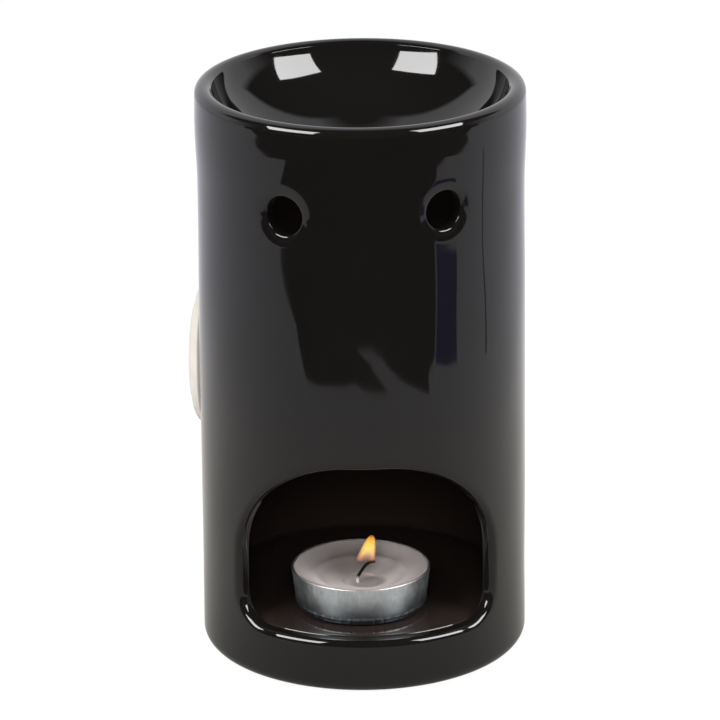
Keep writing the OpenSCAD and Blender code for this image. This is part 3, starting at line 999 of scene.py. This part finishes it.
def softbox(name, azimuth, elevation, roll, distance, sides, power):
    """A softbox that faces the burner's middle and is rolled about that line."""
    lamp = bpy.data.lights.new(name, "AREA")
    lamp.shape = "RECTANGLE"
    lamp.size, lamp.size_y = sides
    lamp.energy = power
    holder = bpy.data.objects.new(name, lamp)
    a, e = math.radians(azimuth), math.radians(elevation)
    out = np.array([math.sin(a) * math.cos(e), -math.cos(a) * math.cos(e), math.sin(e)])
    facing = Matrix.Rotation(a, 4, "Z") @ Matrix.Rotation(math.pi / 2 - e, 4, "X")
    facing = facing @ Matrix.Rotation(math.radians(roll), 4, "Z")
    middle_z = CREST_Z / 2 * MM
    place = Matrix.Translation((*(out[:2] * distance), middle_z + out[2] * distance))
    holder.matrix_world = place @ facing
    bpy.context.scene.collection.objects.link(holder)
    return holder


def camera():
    """The photograph's view: a long lens a little to the left of the window and above the dish."""
    data = bpy.data.cameras.new("camera")
    data.sensor_width = 36
    data.lens = 238.2
    holder = bpy.data.objects.new("camera", data)
    turn, pitch, roll = math.radians(-1.07), math.radians(19.907), math.radians(-0.505)
    place = Matrix.Translation((-0.0232, -1.2074, 0.5162))
    aim = Matrix.Rotation(turn, 4, "Z") @ Matrix.Rotation(math.pi / 2 - pitch, 4, "X")
    holder.matrix_world = place @ aim @ Matrix.Rotation(roll, 4, "Z")
    bpy.context.scene.collection.objects.link(holder)
    bpy.context.scene.camera = holder


TABLE_HALF = 4.0
TABLE_CORNERS = (
    (-TABLE_HALF, -TABLE_HALF, 0), (TABLE_HALF, -TABLE_HALF, 0),
    (TABLE_HALF, TABLE_HALF, 0), (-TABLE_HALF, TABLE_HALF, 0),
)
stage_sheet("table", TABLE_CORNERS, [(0, 1, 2, 3)], white_table())

# Outlines of the cloths: azimuth in degrees and reach from the burner's axis in metres
FELT_NEAR = (
    (-38, 0.291), (-21, 0.293), (-5, 0.290), (15, 0.283),
    (9, 0.297), (2, 0.315), (-5, 0.334),
    (5, 0.324), (12, 0.314), (20, 0.301), (28, 0.287), (36, 0.277), (43, 0.272),
)
FELT_RIGHT = (
    (43, 0.294), (48, 0.313), (49, 0.407), (50.5, 0.446), (50, 0.485),
    (55, 0.503), (58, 0.524), (75, 0.58), (85, 0.7),
)
FELT_REACH = 3.6
FELT_FAR = tuple((azimuth, FELT_REACH) for azimuth in range(85, -86, -17))
FELT_LEFT = (
    (-85, 0.7), (-75, 0.58), (-59, 0.532), (-53, 0.523), (-52, 0.505), (-54.5, 0.452), (-56.5, 0.404),
    (-50, 0.388), (-45, 0.363), (-42.5, 0.334), (-40, 0.308),
)
CORD_STRIP = ((88.6, 0.285), (89.8, 0.285), (89.5, 0.525), (88.9, 0.525))
NAVY_STRIP = ((48.5, 0.303), (64, 0.302), (64.5, 0.351), (65, 0.402), (50, 0.407))


def cloth(name, outline, height, colour):
    """A dark cloth flat on the table before the burner, which only the glaze's reflections show."""
    azimuth, reach = np.array(outline).T
    points = round_the_axis(reach, np.radians(azimuth), height)
    sheet = stage_sheet(name, points.tolist(), [tuple(range(len(points)))], felt(name, colour))
    sheet.visible_camera = False
    sheet.visible_shadow = False


cloth("black_felt", FELT_NEAR + FELT_RIGHT + FELT_FAR + FELT_LEFT, height=0.0005, colour="#0a0a0b")
cloth("black_cord", CORD_STRIP, height=0.0006, colour="#0a0a0b")
cloth("navy_felt", NAVY_STRIP, height=0.0008, colour="#1c2150")

studio_world()
softbox("softbox_left", azimuth=-56.0, elevation=41, roll=18,
        distance=1.2, sides=(0.63, 0.57), power=18.5)
softbox("softbox_right", azimuth=62.5, elevation=41, roll=-18,
        distance=1.2, sides=(0.63, 0.57), power=18.0)
FILL = softbox("front_fill", azimuth=-1.1, elevation=26, roll=0,
               distance=1.1, sides=(0.50, 0.40), power=8.4)
FILL.visible_glossy = False
camera()
bpy.context.scene.view_settings.view_transform = "Standard"
